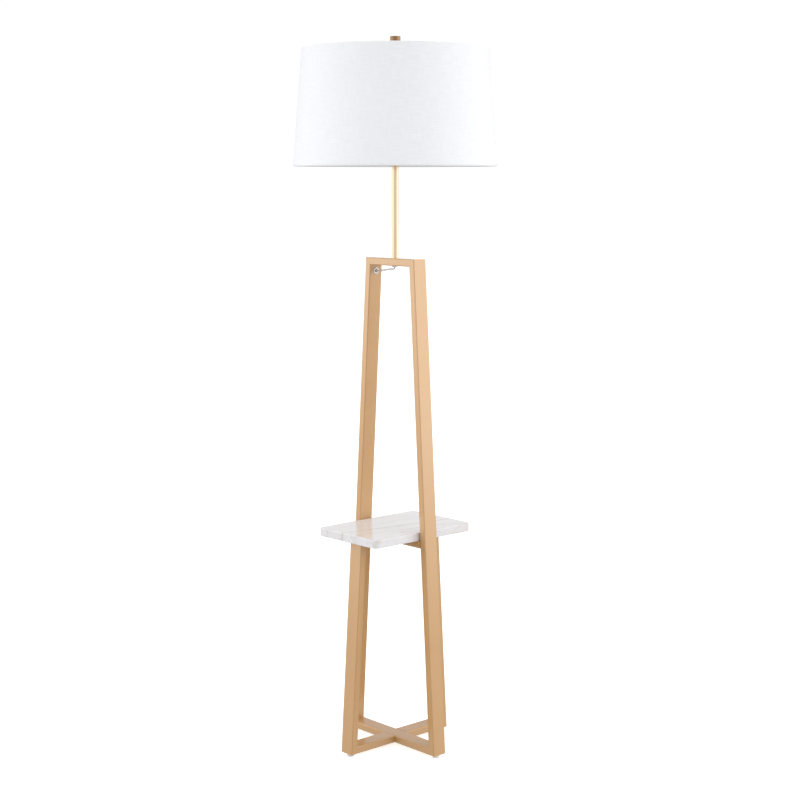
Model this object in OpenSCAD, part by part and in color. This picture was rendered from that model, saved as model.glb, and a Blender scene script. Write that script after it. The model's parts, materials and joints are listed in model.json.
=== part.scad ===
// Floor lamp with table: two crossing A-frames of flat tube, a marble shelf between
// the tall legs, a slim pole and a drum shade. Origin on the floor at the lamp's axis,
// +Z up. The short frame and the shelf's long side lie along X, the tall frame along Y.

/* [Frames] */
// Outer width of both frames at the feet
foot_w = 282; // [240:1:340]
// Outer width of the tall frame at its top
top_w = 152; // [136:1:190]
// Height of the top bar's upper face above the floor
frame_h = 1061; // [900:1:1200]
// Thickness of the frame tube, in the plane of its frame
tube_t = 16; // [14:0.5:20]
// Width of the frame tube, across its frame
tube_d = 35; // [30:0.5:44]
// Wall of the frame tube
tube_wall = 1.2; // [0.8:0.1:1.6]
// Outer corner radius of the frame tube
tube_r = 2.2; // [1.8:0.1:3]

/* [Feet] */
// Diameter of a glide
glide_d = 15; // [12:0.5:20]
// Height of a glide, which is the frame's clearance above the floor
glide_h = 8; // [6:0.5:14]
// Distance from a leg's outer face to its glide's centre
glide_inset = 12; // [10:0.5:20]
// Diameter of a glide screw
glide_screw_d = 3.5; // [3:0.1:4.5]

/* [Shelf] */
// Height of the shelf's upper face above the floor
shelf_z = 485; // [380:1:640]
// Thickness of the marble
shelf_t = 18; // [14:0.5:24]
// How far the marble reaches past the short legs
shelf_overhang = 26; // [10:1:50]
// Gap between the marble and each tall leg
shelf_gap = 3; // [1.5:0.5:8]
// Corner radius of the marble, seen from above
shelf_corner_r = 12; // [6:0.5:20]
// Radius along the marble's upper and lower edges
shelf_edge_r = 1.6; // [0.8:0.2:3]
// Distance from the axis to each shelf screw
screw_reach = 70; // [45:1:82]
// Diameter of a shelf screw
screw_d = 5; // [4:0.5:6]
// Diameter of a threaded insert in the marble
insert_d = 8; // [7.5:0.5:10]
// Depth of a threaded insert in the marble
insert_h = 11; // [8:0.5:12]

/* [Pole] */
// Diameter of the pole
pole_d = 15; // [14:0.5:20]
// Wall of the pole
pole_wall = 1; // [0.8:0.1:1.2]
// Length of the pole above the top bar
pole_h = 201; // [150:1:260]
// Diameter of the threaded nipples
nipple_d = 9.6; // [9:0.1:10.4]
// Bore of the threaded nipples
nipple_bore = 6.6; // [6:0.1:7]
// Length of the bushes in the pole's ends
bush_h = 12; // [8:0.5:18]
// Thickness of the lock washer under the top bar
washer_t = 1; // [0.8:0.1:2]
// Thickness of the lock nut under the top bar
nut_t = 2; // [1.6:0.1:4]
// Width across flats of the lock nut
nut_flats = 13; // [12.5:0.1:16]

/* [Lead] */
// Diameter of the lead
cord_d = 3.6; // [3:0.1:3.8]
// Distance from the top bar's underside down to the grommet's centre
grommet_drop = 13; // [9:0.5:30]
// Diameter of the grommet's flange
grommet_d = 14; // [12:0.5:16]
// Height of the strain relief's centre above the floor
relief_z = 40; // [36:0.5:60]
// Diameter of the strain relief's flange
relief_d = 13; // [11:0.5:15]

/* [Harp] */
// Height of the harp's top wire above the pole's end
harp_h = 226; // [205:1:255]
// Diameter of the harp wire
harp_wire_d = 4; // [3.4:0.1:4.4]
// Distance from the axis to each saddle post
post_x = 28; // [25:0.5:34]
// Radius of a saddle post
post_r = 3; // [2.6:0.1:3.4]
// Length of a harp sleeve
sleeve_h = 12; // [9:0.5:12.5]
// Wall of a harp sleeve
sleeve_wall = 1.1; // [0.8:0.1:1.6]
// Thickness of the saddle strip
saddle_t = 1.6; // [1.2:0.1:2.2]
// Width of the saddle strip
saddle_w = 12; // [9:0.5:16]

/* [Socket] */
// Radius of the socket shell
socket_r = 17; // [16.6:0.1:19]
// Height of the whole socket
socket_h = 66; // [63:0.5:72]
// Height of the socket cap
cap_h = 22; // [19:0.5:23]
// Height of the switch's axis above the socket's foot
switch_z = 27; // [26:0.5:29]
// Diameter of the switch stem
stem_d = 4; // [3.4:0.1:4.6]
// Diameter of the bulb's globe
bulb_d = 60; // [50:1:66]
// Length of the bulb from its contact to its top
bulb_h = 107; // [100:1:120]

/* [Shade] */
// Diameter of the shade at its lower rim
shade_bottom_d = 432; // [360:1:480]
// Diameter of the shade at its upper rim
shade_top_d = 394; // [320:1:440]
// Height of the shade
shade_h = 245; // [200:1:280]
// Height of the shade's upper rim above the underside of the spider's hub
spider_rise = 7; // [5:0.5:16]
// Thickness of the shade's fabric
fabric_t = 0.8; // [0.5:0.1:1.5]
// Thickness of the shade's lining
lining_t = 0.4; // [0.3:0.1:1]
// Diameter of the shade's rim wires
rim_wire_d = 3; // [2.4:0.1:4]
// Diameter of the spider's hub
hub_d = 24; // [22:0.5:30]
// Thickness of the spider's hub
hub_t = 3; // [2.6:0.1:4]
// Diameter of the finial's knob
finial_d = 22; // [18:0.5:28]
// Height of the finial
finial_h = 28.6; // [24:0.2:36]
// Height of the finial's knob
finial_knob_h = 16; // [10:0.5:18]

/* [Hidden] */
$fn = 64;

gold = [0.86, 0.66, 0.40];
pale_brass = [0.89, 0.79, 0.58];
bronze = [0.62, 0.44, 0.22];
steel = [0.62, 0.62, 0.64];
brass = [0.82, 0.66, 0.34];
nylon = [0.90, 0.88, 0.86];
marble = [0.93, 0.92, 0.91];
clear_grey = [0.74, 0.73, 0.71];
black = [0.08, 0.08, 0.08];
white = [0.95, 0.95, 0.96];

// Clearances
running = 0.08;   // radial, shafts and sleeves that turn or slide
snug = 0.05;      // radial, pieces that stay together
seat = 0.1;       // between a seated piece of one body and another body
apart = 0.3;      // between neighbours on different bodies
proud = 1;        // how far a cutter reaches past what it cuts
hair = 0.06;      // gap that a wire's bead bridges

// Frames. Heights and half widths are in the plane of a frame.
lean = (foot_w - top_w) / 2 / (frame_h - glide_h);
tilt = atan(lean);
leg_w = tube_t / cos(tilt);
rail_top = shelf_z - shelf_t;
tube_ri = max(tube_r - tube_wall, 0.2);
function outer(z) = foot_w / 2 - lean * (z - glide_h);
function inner(z) = outer(z) - leg_w;
// The outer and inner points of a mitre, at a frame's top and at its feet
function top_mitre(top) = [[outer(top), top], [inner(top - tube_t), top - tube_t]];
foot_mitre = [[outer(glide_h), glide_h], [inner(glide_h + tube_t), glide_h + tube_t]];
// The end of a rail that butts against a leg's inner face
rail_butt = [[inner(rail_top), rail_top], [inner(rail_top - tube_t), rail_top - tube_t]];
function crossing_butt(top) = [[tube_d / 2, top], [tube_d / 2, top - tube_t]];
function past(a, b) = a + (a - b);
function flipped(p) = [-p[0], p[1]];
// A height above the floor as a distance along a leg, on its face at depth x from outside
function along_leg(z, x) = (z - glide_h + x * sin(tilt)) / cos(tilt);

glide_r = foot_w / 2 - glide_inset;
glide_head_d = 2 * glide_screw_d;
glide_head_h = 2.5;
glide_screw_l = 7;

// To a tenth of a millimetre, as stone is cut
function cut_to_tenth(x) = floor(10 * x) / 10;
shelf_w = 2 * cut_to_tenth(inner(shelf_z) - shelf_gap);
shelf_l = 2 * cut_to_tenth(outer(rail_top) + shelf_overhang);
screw_head_d = 1.9 * screw_d;
screw_head_h = 3.2;
screw_into_insert = 8;

// Pole and what holds it
bar_under = frame_h - tube_t;
pole_top = frame_h + pole_h;
pole_bore = pole_d - 2 * pole_wall;
nipple_out = 0.3;   // nipple showing past the lock nut
nipple_foot = bar_under - washer_t - nut_t - nipple_out;
link_top = bar_under + 1.2;    // where the lead starts to turn, inside the nipple
washer_d = nut_flats + 2;

// Grommet and strain relief, placed along the tall back leg
grommet_z = bar_under - grommet_drop;
grommet_bore = cord_d + 4;
grommet_hole = grommet_d - 3;
flange_t = 1.5;
inner_flange_t = 1.2;
inner_flange_d = grommet_hole + 1.4;
lead_bend = 6.5;               // bend radius of the lead inside the leg
lead_depth = tube_t - 7;       // the lead's depth behind the leg's outer face
relief_hole = relief_d - 4;
relief_flange_t = 2;
relief_reach = 8;              // from the leg's face to the nose's centre line
relief_solid = 5;              // end of the neck that the lead's bore stops short of
relief_nose_r = 4.4;
relief_tip_r = 2.9;
relief_nose_h = 20;
relief_tip_z = relief_z - relief_nose_h;
relief_x = outer(relief_z) + relief_reach * cos(tilt);
relief_lift = relief_reach * sin(tilt);

cord_sides = 8;

// Route of the short link, out of the nipple and across to the grommet
link_route = [
    [0, 0, 1046.2], [0, 0, 1045.2], [0, 0.27, 1043.2], [0, 1.05, 1041.3],
    [0, 2.3, 1039.7], [0, 3.9, 1038.45], [0, 5.8, 1037.67], [0, 7.8, 1037.4],
    [0, 11, 1037.3], [0, 15, 1037], [0, 20, 1036.4], [0, 27, 1035.3],
    [0, 34, 1034.2], [0, 41, 1033.2], [0, 48, 1032.4], [0, 54, 1031.9],
    [0, 57.8, 1031.75], [0, 60.26, 1031.9]
];

// The hank behind the lamp, a racetrack coil of two loops in each layer
hank_at = [49, 189];           // its centre on the floor
hank_turn = 48;                // its direction, from +X
hank_run = 64;                 // straight part of a run
hank_fold_r = 14.4;            // centre line of its outer fold
hank_layers = 4;
tie_t = 1;
tie_w = 12;
hank_w = 2 * hank_fold_r + cord_d;
hank_top = tie_t + hank_layers * cord_d;

// Route from the strain relief down to the floor and into the hank's lowest layer
floor_route = [
    [0, 147, 20], [0, 147, 17], [0.2, 147.9, 12.4], [1, 150.2, 8.2], [2.8, 153.8, 5],
    [5.4, 158.2, 3.3], [8.6, 163, 2.8], [12.4, 167.9, 2.8], [16.6, 172.7, 2.8],
    [21, 177.5, 2.8]
];
// Route out of its top layer and round to the plug, in the hank's own directions
plug_route = [
    [24, 14.4, 13.6], [30, 14.4, 13.9], [34.7, 13.6, 14.5], [39.8, 10.4, 15.7],
    [43, 5.3, 17.2], [43.7, -0.6, 18.8], [42, -6.3, 20.4], [37.9, -10.7, 21.8],
    [32.4, -13, 22.8], [27.1, -12.9, 23.2], [22, -11.8, 23.2]
];
plug_turn = -12;
plug_w = 22;
plug_t = 13.6;
plug_corner = 6.4;
plug_at = [22, -11.8, hank_top + tie_t + plug_t / 2];
plug_l = 27;
plug_nose_l = 20;
plug_nose_r = 5.4;
blade_gap = 12.7;
blade_l = 17;
blade_w = 6.2;
blade_t = 1.5;

// Light fitting
saddle_bend = 3;               // inner radius of the saddle's bends
tab_h = 12;                    // height of the saddle's tabs above the pole
post_h = tab_h + sleeve_h + seat;
saddle_out = post_x + post_r;
harp_foot = tab_h + 2 * seat;
collar_h = 4;
harp_straight = 42;            // height where the harp's legs start to spread
harp_spread_r = 30;
harp_side_r = 130;
harp_shoulder_r = 34;
harp_out = 18;                 // how far the legs lean out, in degrees
harp_in = 22;                  // how far the sides lean in at the shoulders
bend_step = 4.5;               // most degrees from one point of a bend to the next
harp_top = pole_top + harp_h;
harp_rise = harp_h - harp_straight - harp_spread_r * sin(harp_out)
    - harp_side_r * (sin(harp_out) + sin(harp_in)) - harp_shoulder_r * (1 - sin(harp_in));
harp_slant = harp_rise / cos(harp_out);
spread_end = [post_x + harp_spread_r * (1 - cos(harp_out)),
    pole_top + harp_straight + harp_spread_r * sin(harp_out)];
slant_end = spread_end + harp_slant * [sin(harp_out), cos(harp_out)];
side_centre = slant_end + harp_side_r * [-cos(harp_out), sin(harp_out)];
shoulder_centre = side_centre
    + (harp_side_r - harp_shoulder_r) * [cos(harp_in), sin(harp_in)];
sleeve_foot = pole_top + tab_h + seat;
function arc_points(centre, r, from, to) =
    let (n = ceil(abs(to - from) / bend_step))
    [for (i = [0 : n]) let (a = from + (to - from) * i / n) centre + r * [cos(a), sin(a)]];
harp_right = [
    [post_x, pole_top + post_h + seat + collar_h / 2],
    each arc_points([post_x + harp_spread_r, pole_top + harp_straight], harp_spread_r,
        180, 180 - harp_out),
    each arc_points(side_centre, harp_side_r, -harp_out, harp_in),
    each arc_points(shoulder_centre, harp_shoulder_r, harp_in + bend_step, 90)
];
harp_route = [
    for (p = harp_right) [p[0], 0, p[1]],
    for (i = [len(harp_right) - 1 : -1 : 0]) [-harp_right[i][0], 0, harp_right[i][1]]
];

socket_foot = pole_top + saddle_t;
cap_wall = 1;
cap_corner = 8;
cap_hub_h = 6;
cap_hub_r = 8;
shell_wall = 0.6;
shell_foot = cap_hub_h + cap_corner + 0.5;
liner_wall = 0.8;
liner_r = socket_r - shell_wall - snug;
body_foot = cap_hub_h + 2;
body_top = 36;
body_r = liner_r - liner_wall - 4 * snug;
screw_shell_r = 13.9;
screw_shell_wall = 0.4;
screw_shell_top = socket_h - 4;
thread_pitch = 3.63;
bulb_foot = body_top + 1.7;
bulb_cap_r = 12.8;
bulb_cap_top = bulb_foot + 25;
bulb_neck_r = 13;
bulb_fillet_r = 40;
globe_r = bulb_d / 2;
globe_z = bulb_foot + bulb_h - globe_r;
bulb_fillet_z = globe_z - sqrt(pow(globe_r + bulb_fillet_r, 2)
    - pow(bulb_neck_r + bulb_fillet_r, 2));
knob_start = socket_r + 2.5;
knob_boss_l = 5;
knob_l = 16;

stud_d = 6.35;
stud_plate_t = 2;
stud_plate_r = 8;
stud_boss_r = 5;
stud_plate_z = harp_top + harp_wire_d / 2;
hub_z = stud_plate_z + stud_plate_t + seat;
stud_top = hub_z + hub_t + 9;
shade_top_z = hub_z + spider_rise;
shade_foot_z = shade_top_z - shade_h;
arm_d = 3.5;
arm_start = 10;
finial_z = hub_z + hub_t + apart;
finial_edge = 1;
function shade_r(z) = shade_bottom_d / 2
    - (shade_bottom_d - shade_top_d) / 2 * (z - shade_foot_z) / shade_h;
rim_inset = rim_wire_d / 2 + 0.3;
function rim_r(z) = shade_r(z) - fabric_t - lining_t - rim_wire_d / 2 - 3 * snug;

// ---- shared shapes ----

// A rectangle with round corners, centred
module rounded(w, d, r) {
    square([w - 2 * r, d], center = true);
    square([w, d - 2 * r], center = true);
    for (x = [-1, 1], y = [-1, 1])
        translate([x * (w / 2 - r), y * (d / 2 - r)])
            circle(r);
}

// The lower half of a rounded bowl's profile, standing on y = 0
module bowl(r, h, corner) {
    square([r - corner, h]);
    translate([0, corner])
        square([r, h - corner]);
    translate([r - corner, corner])
        circle(corner);
}

module tube_section() {
    difference() {
        rounded(tube_t, tube_d, tube_r);
        rounded(tube_t - 2 * tube_wall, tube_d - 2 * tube_wall, tube_ri);
    }
}

// A flat shape in a frame's plane, as deep as a cutter needs
module in_plane(points)
    rotate([90, 0, 0])
        linear_extrude(2 * tube_d, center = true)
            polygon(points);

// Stands in the right-hand leg: x = 0 on its outer face, z along it from the foot
module on_leg()
    translate([foot_w / 2, 0, glide_h])
        rotate([0, -tilt, 0])
            children();

// The right-hand leg of a frame whose top is at this height
module leg(top) {
    upper = top_mitre(top);
    intersection() {
        on_leg()
            translate([-tube_t / 2, 0, -tube_d])
                linear_extrude(top + 2 * tube_d)
                    tube_section();
        in_plane([
            past(foot_mitre[0], foot_mitre[1]), past(upper[0], upper[1]),
            past(upper[1], upper[0]), past(foot_mitre[1], foot_mitre[0])
        ]);
    }
}

// A level tube between two end cuts, each given by its upper and lower point
module level_bar(top, right, left)
    intersection() {
        translate([0, 0, top - tube_t / 2])
            rotate([0, 90, 0])
                linear_extrude(2 * foot_w, center = true)
                    tube_section();
        in_plane([
            past(right[0], right[1]), past(right[1], right[0]),
            past(left[1], left[0]), past(left[0], left[1])
        ]);
    }

module mirrored_bar(top, cut)
    level_bar(top, cut, [flipped(cut[0]), flipped(cut[1])]);

// Plain vertical hole through something level at this height
module hole_at(x, z, d, h)
    translate([x, 0, z])
        cylinder(h = h, d = d, center = true);

module tall_side(back)
    rotate([0, 0, back ? 90 : -90])
        children();

module short_side(back)
    rotate([0, 0, back ? 0 : 180])
        children();

// Round wire in the XZ plane: a straight piece, and a bend whose ends stop a hair short
// in a bead a hair thicker than the wire, which joins it to what follows
module wire_line(a, b, d) {
    step = b - a;
    translate([a[0], 0, a[1]])
        rotate([0, atan2(step[0], step[1]), 0])
            cylinder(h = norm(step), d = d);
}

module wire_arc(centre, r, from, to, d) {
    short = 180 / PI * hair / r;
    translate([centre[0], 0, centre[1]])
        rotate([90, 0, 0]) {
            rotate([0, 0, from + short])
                rotate_extrude(angle = to - from - 2 * short, $fn = 160)
                    translate([r, 0])
                        circle(d = d, $fn = 40);
            for (end = [from, to])
                translate([r * cos(end), r * sin(end), 0])
                    sphere(d = d + 2 * hair / 3, $fn = 40);
        }
}

module ring(r, z, d)
    translate([0, 0, z])
        rotate_extrude($fn = 128)
            translate([r, 0])
                circle(d = d, $fn = 24);

module pipe(od, id, h)
    difference() {
        cylinder(h = h, d = od);
        translate([0, 0, -proud])
            cylinder(h = h + 2 * proud, d = id);
    }

// A round tube swept along route points, n-sided. The reference is a direction that the
// route keeps clear of, so that the rings don't twist.
function unit(v) = v / norm(v);
function heading(p, i) = unit(p[min(i + 1, len(p) - 1)] - p[max(i - 1, 0)]);
function tube_ring(p, i, d, n, reference) =
    let (t = heading(p, i), a = unit(cross(t, reference)), b = cross(t, a))
    [for (k = [0 : n - 1])
        p[i] + d / 2 * (a * cos(360 * k / n) + b * sin(360 * k / n))];
module swept(p, d, n, reference) {
    last = len(p) - 1;
    points = [for (i = [0 : last]) each tube_ring(p, i, d, n, reference)];
    sides = [for (i = [0 : last - 1], k = [0 : n - 1])
        let (a = i * n + k, b = i * n + (k + 1) % n)
        [a, a + n, b + n, b]];
    ends = [
        [for (k = [0 : n - 1]) k],
        [for (k = [n - 1 : -1 : 0]) last * n + k]
    ];
    polyhedron(points, concat(sides, ends));
}

// ---- frames ----

module tall_leg_front()
    color(gold)
        tall_side(false)
            leg(frame_h);

module tall_leg_back()
    color(gold)
        tall_side(true)
            difference() {
                leg(frame_h);
                on_leg()
                    translate([-tube_t + tube_wall + proud, 0, along_leg(grommet_z, tube_t)])
                        rotate([0, -90, 0])
                            cylinder(h = tube_wall + 2 * proud, d = grommet_hole);
                on_leg()
                    translate([-tube_wall - proud, 0, along_leg(relief_z, 0)])
                        rotate([0, 90, 0])
                            cylinder(h = tube_wall + 2 * proud, d = relief_hole);
            }

module top_bar()
    color(gold)
        tall_side(true)
            difference() {
                mirrored_bar(frame_h, top_mitre(frame_h));
                hole_at(0, frame_h - tube_t / 2, nipple_d + 6 * snug, 2 * tube_t);
            }

module tall_shelf_rail()
    color(gold)
        tall_side(true)
            difference() {
                mirrored_bar(rail_top, rail_butt);
                for (x = [-1, 1])
                    hole_at(x * screw_reach, rail_top - tube_t / 2, screw_d + 6 * snug, 2 * tube_t);
            }

module tall_base_bar()
    color(gold)
        tall_side(true)
            difference() {
                mirrored_bar(glide_h + tube_t, [foot_mitre[1], foot_mitre[0]]);
                for (x = [-1, 1])
                    hole_at(x * glide_r, glide_h, glide_screw_d + 2 * snug, 4 * tube_wall);
            }

module short_leg_front()
    color(gold)
        short_side(false)
            leg(rail_top);

module short_leg_back()
    color(gold)
        short_side(true)
            leg(rail_top);

module short_shelf_rail()
    difference() {
        level_bar(rail_top, top_mitre(rail_top), crossing_butt(rail_top));
        hole_at(screw_reach, rail_top - tube_t / 2, screw_d + 6 * snug, 2 * tube_t);
    }

module short_shelf_rail_front()
    color(gold)
        short_side(false)
            short_shelf_rail();

module short_shelf_rail_back()
    color(gold)
        short_side(true)
            short_shelf_rail();

module short_base_bar()
    difference() {
        level_bar(
            glide_h + tube_t, [foot_mitre[1], foot_mitre[0]], crossing_butt(glide_h + tube_t)
        );
        hole_at(glide_r, glide_h, glide_screw_d + 2 * snug, 4 * tube_wall);
    }

module short_base_bar_front()
    color(gold)
        short_side(false)
            short_base_bar();

module short_base_bar_back()
    color(gold)
        short_side(true)
            short_base_bar();

// ---- feet ----

// A glide on the right-hand foot: a turned disc with a sunk screw hole
module glide_on_foot()
    translate([glide_r, 0, 0])
        rotate_extrude()
            difference() {
                union() {
                    translate([0, 1])
                        square([glide_d / 2, glide_h - 1]);
                    square([glide_d / 2 - 1, glide_h]);
                    translate([glide_d / 2 - 1, 1])
                        circle(1, $fn = 32);
                }
                translate([0, -proud])
                    square([glide_screw_d / 2 + snug, glide_h + 2 * proud]);
                translate([0, -proud])
                    square([glide_head_d / 2 + 2 * snug, proud + glide_head_h + 1]);
            }

module glide_tall_front()
    color(nylon)
        tall_side(false)
            glide_on_foot();

module glide_tall_back()
    color(nylon)
        tall_side(true)
            glide_on_foot();

module glide_short_front()
    color(nylon)
        short_side(false)
            glide_on_foot();

module glide_short_back()
    color(nylon)
        short_side(true)
            glide_on_foot();

module glide_screws()
    color(steel)
        for (turn = [0 : 90 : 270])
            rotate([0, 0, turn])
                translate([glide_r, 0, 1]) {
                    cylinder(h = glide_head_h, d = glide_head_d);
                    cylinder(h = glide_h - 1 + glide_screw_l, d = glide_screw_d);
                }

// ---- shelf ----

// A slab's cross-section: square ends with rounded edges
module slab_section(w)
    rounded(w, shelf_t, shelf_edge_r);

module shelf()
    color(marble)
        difference() {
            translate([0, 0, shelf_z - shelf_t / 2]) {
                rotate([90, 0, 90])
                    linear_extrude(shelf_l - 2 * shelf_corner_r, center = true)
                        slab_section(shelf_w);
                rotate([90, 0, 0])
                    linear_extrude(shelf_w - 2 * shelf_corner_r, center = true)
                        slab_section(shelf_l);
                for (x = [-1, 1], y = [-1, 1])
                    translate([
                        x * (shelf_l / 2 - shelf_corner_r),
                        y * (shelf_w / 2 - shelf_corner_r), 0
                    ])
                        rotate([0, 0, atan2(y, x) - 45])
                            rotate_extrude(angle = 90)
                                intersection() {
                                    slab_section(2 * shelf_corner_r);
                                    translate([0, -shelf_t])
                                        square([2 * shelf_corner_r, 2 * shelf_t]);
                                }
            }
            for (turn = [0 : 90 : 270])
                rotate([0, 0, turn])
                    hole_at(screw_reach, rail_top, insert_d, 2 * insert_h);
        }

module shelf_inserts()
    color(brass)
        for (turn = [0 : 90 : 270])
            rotate([0, 0, turn])
                translate([screw_reach, 0, rail_top])
                    pipe(insert_d, screw_d + 2 * snug, insert_h);

module shelf_screws()
    color(steel)
        for (turn = [0 : 90 : 270])
            rotate([0, 0, turn])
                translate([screw_reach, 0, rail_top - tube_t - screw_head_h]) {
                    cylinder(h = screw_head_h, d = screw_head_d);
                    cylinder(h = screw_head_h + tube_t + screw_into_insert, d = screw_d);
                }

// ---- pole ----

module pole()
    color(pale_brass)
        translate([0, 0, frame_h])
            pipe(pole_d, pole_bore, pole_h);

module pole_bush()
    pipe(pole_bore - 2 * snug, nipple_d + 2 * snug, bush_h);

module pole_foot_bush()
    color(brass)
        translate([0, 0, frame_h])
            pole_bush();

module pole_top_bush()
    color(brass)
        translate([0, 0, pole_top - bush_h])
            pole_bush();

module pole_nipple()
    color(steel)
        translate([0, 0, nipple_foot])
            pipe(nipple_d, nipple_bore, frame_h + bush_h - nipple_foot);

module lock_washer()
    color(steel)
        translate([0, 0, bar_under - washer_t])
            pipe(washer_d, nipple_d + 2 * snug, washer_t);

module lock_nut()
    color(steel)
        translate([0, 0, bar_under - washer_t - nut_t])
            difference() {
                cylinder(h = nut_t, d = nut_flats / cos(30), $fn = 6);
                translate([0, 0, -proud])
                    cylinder(h = nut_t + 2 * proud, d = nipple_d + 2 * snug);
            }

// ---- lead ----

module pole_lead()
    color(clear_grey)
        translate([0, 0, link_top])
            cylinder(h = socket_foot + body_foot - link_top, d = cord_d);

module link_cord()
    color(clear_grey)
        swept(link_route, cord_d, cord_sides, [1, 0, 0]);

module cord_grommet()
    color(white)
        tall_side(true)
            on_leg()
                translate([-tube_t, 0, along_leg(grommet_z, tube_t)])
                    rotate([0, -90, 0])
                        difference() {
                            union() {
                                cylinder(h = flange_t, d = grommet_d);
                                translate([0, 0, -tube_wall])
                                    cylinder(h = tube_wall, d = grommet_hole - 2 * snug);
                                translate([0, 0, -tube_wall - inner_flange_t])
                                    cylinder(h = inner_flange_t, d = inner_flange_d);
                            }
                            translate([0, 0, -2 * tube_wall - inner_flange_t])
                                cylinder(h = 4 * tube_wall + flange_t + inner_flange_t, d = grommet_bore);
                        }

// Down the inside of the leg, from the grommet's mouth to the strain relief
module leg_lead()
    color(clear_grey)
        tall_side(true)
            on_leg() {
                high = along_leg(grommet_z, tube_t);
                low = along_leg(relief_z, 0);
                start = -tube_t - flange_t;
                wire_line([start, high], [-lead_depth - lead_bend, high], cord_d);
                wire_arc([-lead_depth - lead_bend, high - lead_bend], lead_bend, 0, 90, cord_d);
                wire_line([-lead_depth, low + lead_bend], [-lead_depth, high - lead_bend], cord_d);
                wire_arc([-lead_depth + lead_bend, low + lead_bend], lead_bend, 180, 270, cord_d);
                wire_line([-lead_depth + lead_bend, low], [relief_reach - relief_solid, low], cord_d);
            }

// A flange on the leg's outer face and a nose that turns down along the leg
module strain_relief()
    color(clear_grey)
        tall_side(true)
            difference() {
                union() {
                    on_leg()
                        translate([0, 0, along_leg(relief_z, 0)])
                            rotate([0, 90, 0]) {
                                cylinder(h = relief_flange_t, d = relief_d);
                                translate([0, 0, -tube_wall])
                                    cylinder(h = tube_wall, d = relief_hole - 2 * snug);
                                cylinder(h = relief_reach, r = relief_nose_r);
                            }
                    translate([relief_x, 0, relief_z + relief_lift])
                        sphere(r = relief_nose_r);
                    translate([relief_x, 0, relief_tip_z])
                        cylinder(h = relief_nose_h + relief_lift, r1 = relief_tip_r, r2 = relief_nose_r);
                }
                on_leg()
                    translate([-2 * tube_wall, 0, along_leg(relief_z, 0)])
                        rotate([0, 90, 0])
                            cylinder(
                                h = 2 * tube_wall + relief_reach - relief_solid,
                                r = cord_d / 2 + snug
                            );
            }

module mains_cord()
    color(clear_grey) {
        swept(floor_route, cord_d, cord_sides, [sin(hank_turn), -cos(hank_turn), 0]);
        on_hank()
            swept(plug_route, cord_d, cord_sides, [0, 0, 1]);
    }

module on_hank()
    translate(hank_at)
        rotate([0, 0, hank_turn])
            children();

module cord_hank()
    color(clear_grey)
        on_hank()
            translate([0, 0, tie_t])
                linear_extrude(hank_top - tie_t) {
                    square([hank_run, hank_w], center = true);
                    for (x = [-1, 1])
                        translate([x * hank_run / 2, 0])
                            circle(d = hank_w);
                }

module cord_tie()
    color(black)
        on_hank()
            rotate([90, 0, 90])
                linear_extrude(tie_w, center = true)
                    difference() {
                        translate([-hank_w / 2 - tie_t, 0])
                            square([hank_w + 2 * tie_t, hank_top + tie_t]);
                        translate([-hank_w / 2, tie_t])
                            square([hank_w, hank_top - tie_t]);
                    }

module on_plug()
    on_hank()
        translate(plug_at)
            rotate([0, 0, plug_turn])
                children();

module mains_plug()
    color(clear_grey)
        on_plug() {
            rotate([0, -90, 0])
                cylinder(h = plug_nose_l, r1 = relief_tip_r, r2 = plug_nose_r);
            translate([-plug_nose_l, 0, 0])
                rotate([0, -90, 0])
                    linear_extrude(plug_l)
                        rounded(plug_t, plug_w, plug_corner);
        }

module plug_blades()
    color(brass)
        on_plug()
            for (y = [-1, 1])
                translate([-plug_nose_l - plug_l - blade_l / 2, y * blade_gap / 2, 0])
                    cube([blade_l, blade_t, blade_w], center = true);

// ---- harp ----

module socket_nipple()
    color(steel)
        translate([0, 0, pole_top - bush_h])
            pipe(nipple_d, nipple_bore, bush_h + saddle_t + cap_hub_h);

module saddle_side() {
    bend_x = saddle_out - saddle_bend - saddle_t;
    bend_z = saddle_bend + saddle_t;
    translate([0, -saddle_w / 2, 0])
        cube([bend_x, saddle_w, saddle_t]);
    translate([bend_x, 0, bend_z])
        rotate([0, 90, 0])
            rotate([90, 0, 0])
                rotate_extrude(angle = 90)
                    translate([saddle_bend, -saddle_w / 2])
                        square([saddle_t, saddle_w]);
    translate([saddle_out - saddle_t, 0, bend_z])
        rotate([90, 0, 90])
            linear_extrude(saddle_t)
                intersection() {
                    translate([-saddle_w / 2, 0])
                        square([saddle_w, tab_h - bend_z]);
                    translate([0, -saddle_w / 2 + tab_h - bend_z])
                        rounded(saddle_w, saddle_w, 2);
                }
    half_post(bend_z + 1, post_h, 1);
}

// Half a round post. Side 1 is the outer half and side -1 the inner half.
module half_post(low, high, side)
    translate([post_x, 0, low])
        intersection() {
            cylinder(h = high - low, r = post_r);
            translate([side * post_r, 0, (high - low) / 2])
                cube([2 * post_r, 3 * post_r, 3 * (high - low)], center = true);
        }

module harp_saddle()
    color(brass)
        translate([0, 0, pole_top])
            difference() {
                for (turn = [0, 180])
                    rotate([0, 0, turn])
                        saddle_side();
                translate([0, 0, -proud])
                    cylinder(h = saddle_t + 2 * proud, d = nipple_d + 2 * snug);
            }

module harp()
    color(brass) {
        for (turn = [0, 180])
            rotate([0, 0, turn])
                translate([0, 0, pole_top]) {
                    half_post(harp_foot, post_h + seat, -1);
                    translate([post_x, 0, post_h + seat])
                        cylinder(h = collar_h, r = post_r);
                }
        swept(harp_route, harp_wire_d, 16, [0, 1, 0]);
    }

module harp_sleeve(side)
    color(brass)
        translate([side * post_x, 0, sleeve_foot])
            pipe(2 * (post_r + running + sleeve_wall), 2 * (post_r + running), sleeve_h);

module harp_sleeve_left()
    harp_sleeve(-1);

module harp_sleeve_right()
    harp_sleeve(1);

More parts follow.
